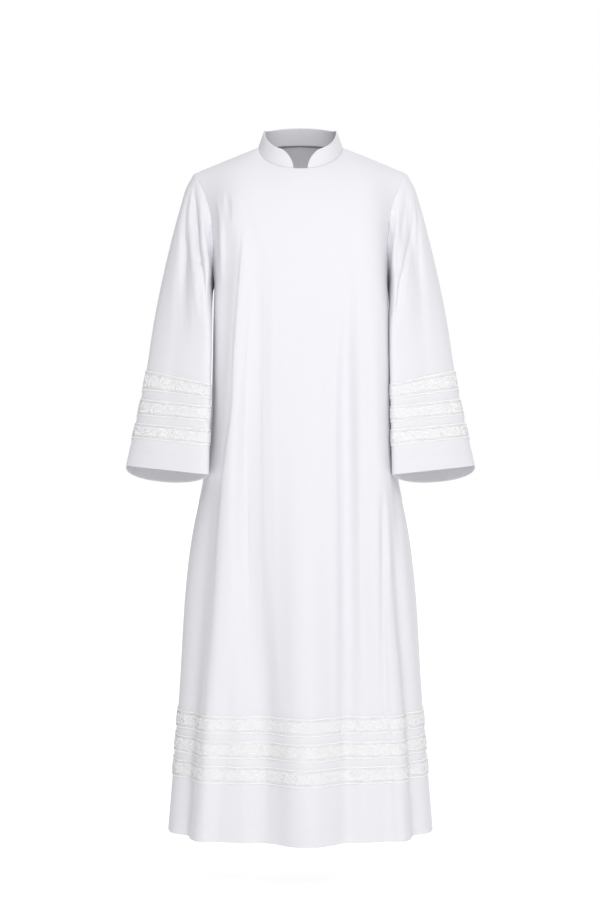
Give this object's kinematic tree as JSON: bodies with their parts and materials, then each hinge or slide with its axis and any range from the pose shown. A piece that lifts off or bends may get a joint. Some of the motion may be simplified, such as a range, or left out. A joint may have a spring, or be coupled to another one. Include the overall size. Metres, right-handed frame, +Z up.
{
  "type": "alb robe",
  "caption": "Ankle-length white alb robe, hollow as worn, with a low standing collar open at the front, wide straight sleeves, and lace bands round the hem and the sleeves.",
  "frame": {"origin": "the middle of the neck opening, level with the inner ends of the shoulder seams, where the wearer's shoulders hold the garment", "axes": "+Z up, the garment's length; -Y the front; +X the wearer's left"},
  "size_m": [0.7286, 0.4276, 1.4754],
  "materials": {
    "white_cloth": "plain weave, matte with a faint sheen",
    "lace": "raised white lace, matte",
    "button": "smooth"
  },
  "bodies": {
    "root": {"front": "white_cloth", "back_left": "white_cloth", "back_right": "white_cloth", "sleeve_left": "white_cloth", "sleeve_right": "white_cloth", "collar_left": "white_cloth", "collar_right": "white_cloth", "hem_band_front_1": "lace", "hem_band_front_2": "lace", "hem_band_front_3": "lace", "hem_band_back_1": "lace", "hem_band_back_2": "lace", "hem_band_back_3": "lace", "sleeve_band_left_1": "lace", "sleeve_band_left_2": "lace", "sleeve_band_left_3": "lace", "sleeve_band_right_1": "lace", "sleeve_band_right_2": "lace", "sleeve_band_right_3": "lace", "collar_button": "button"}
  },
  "joints": []
}
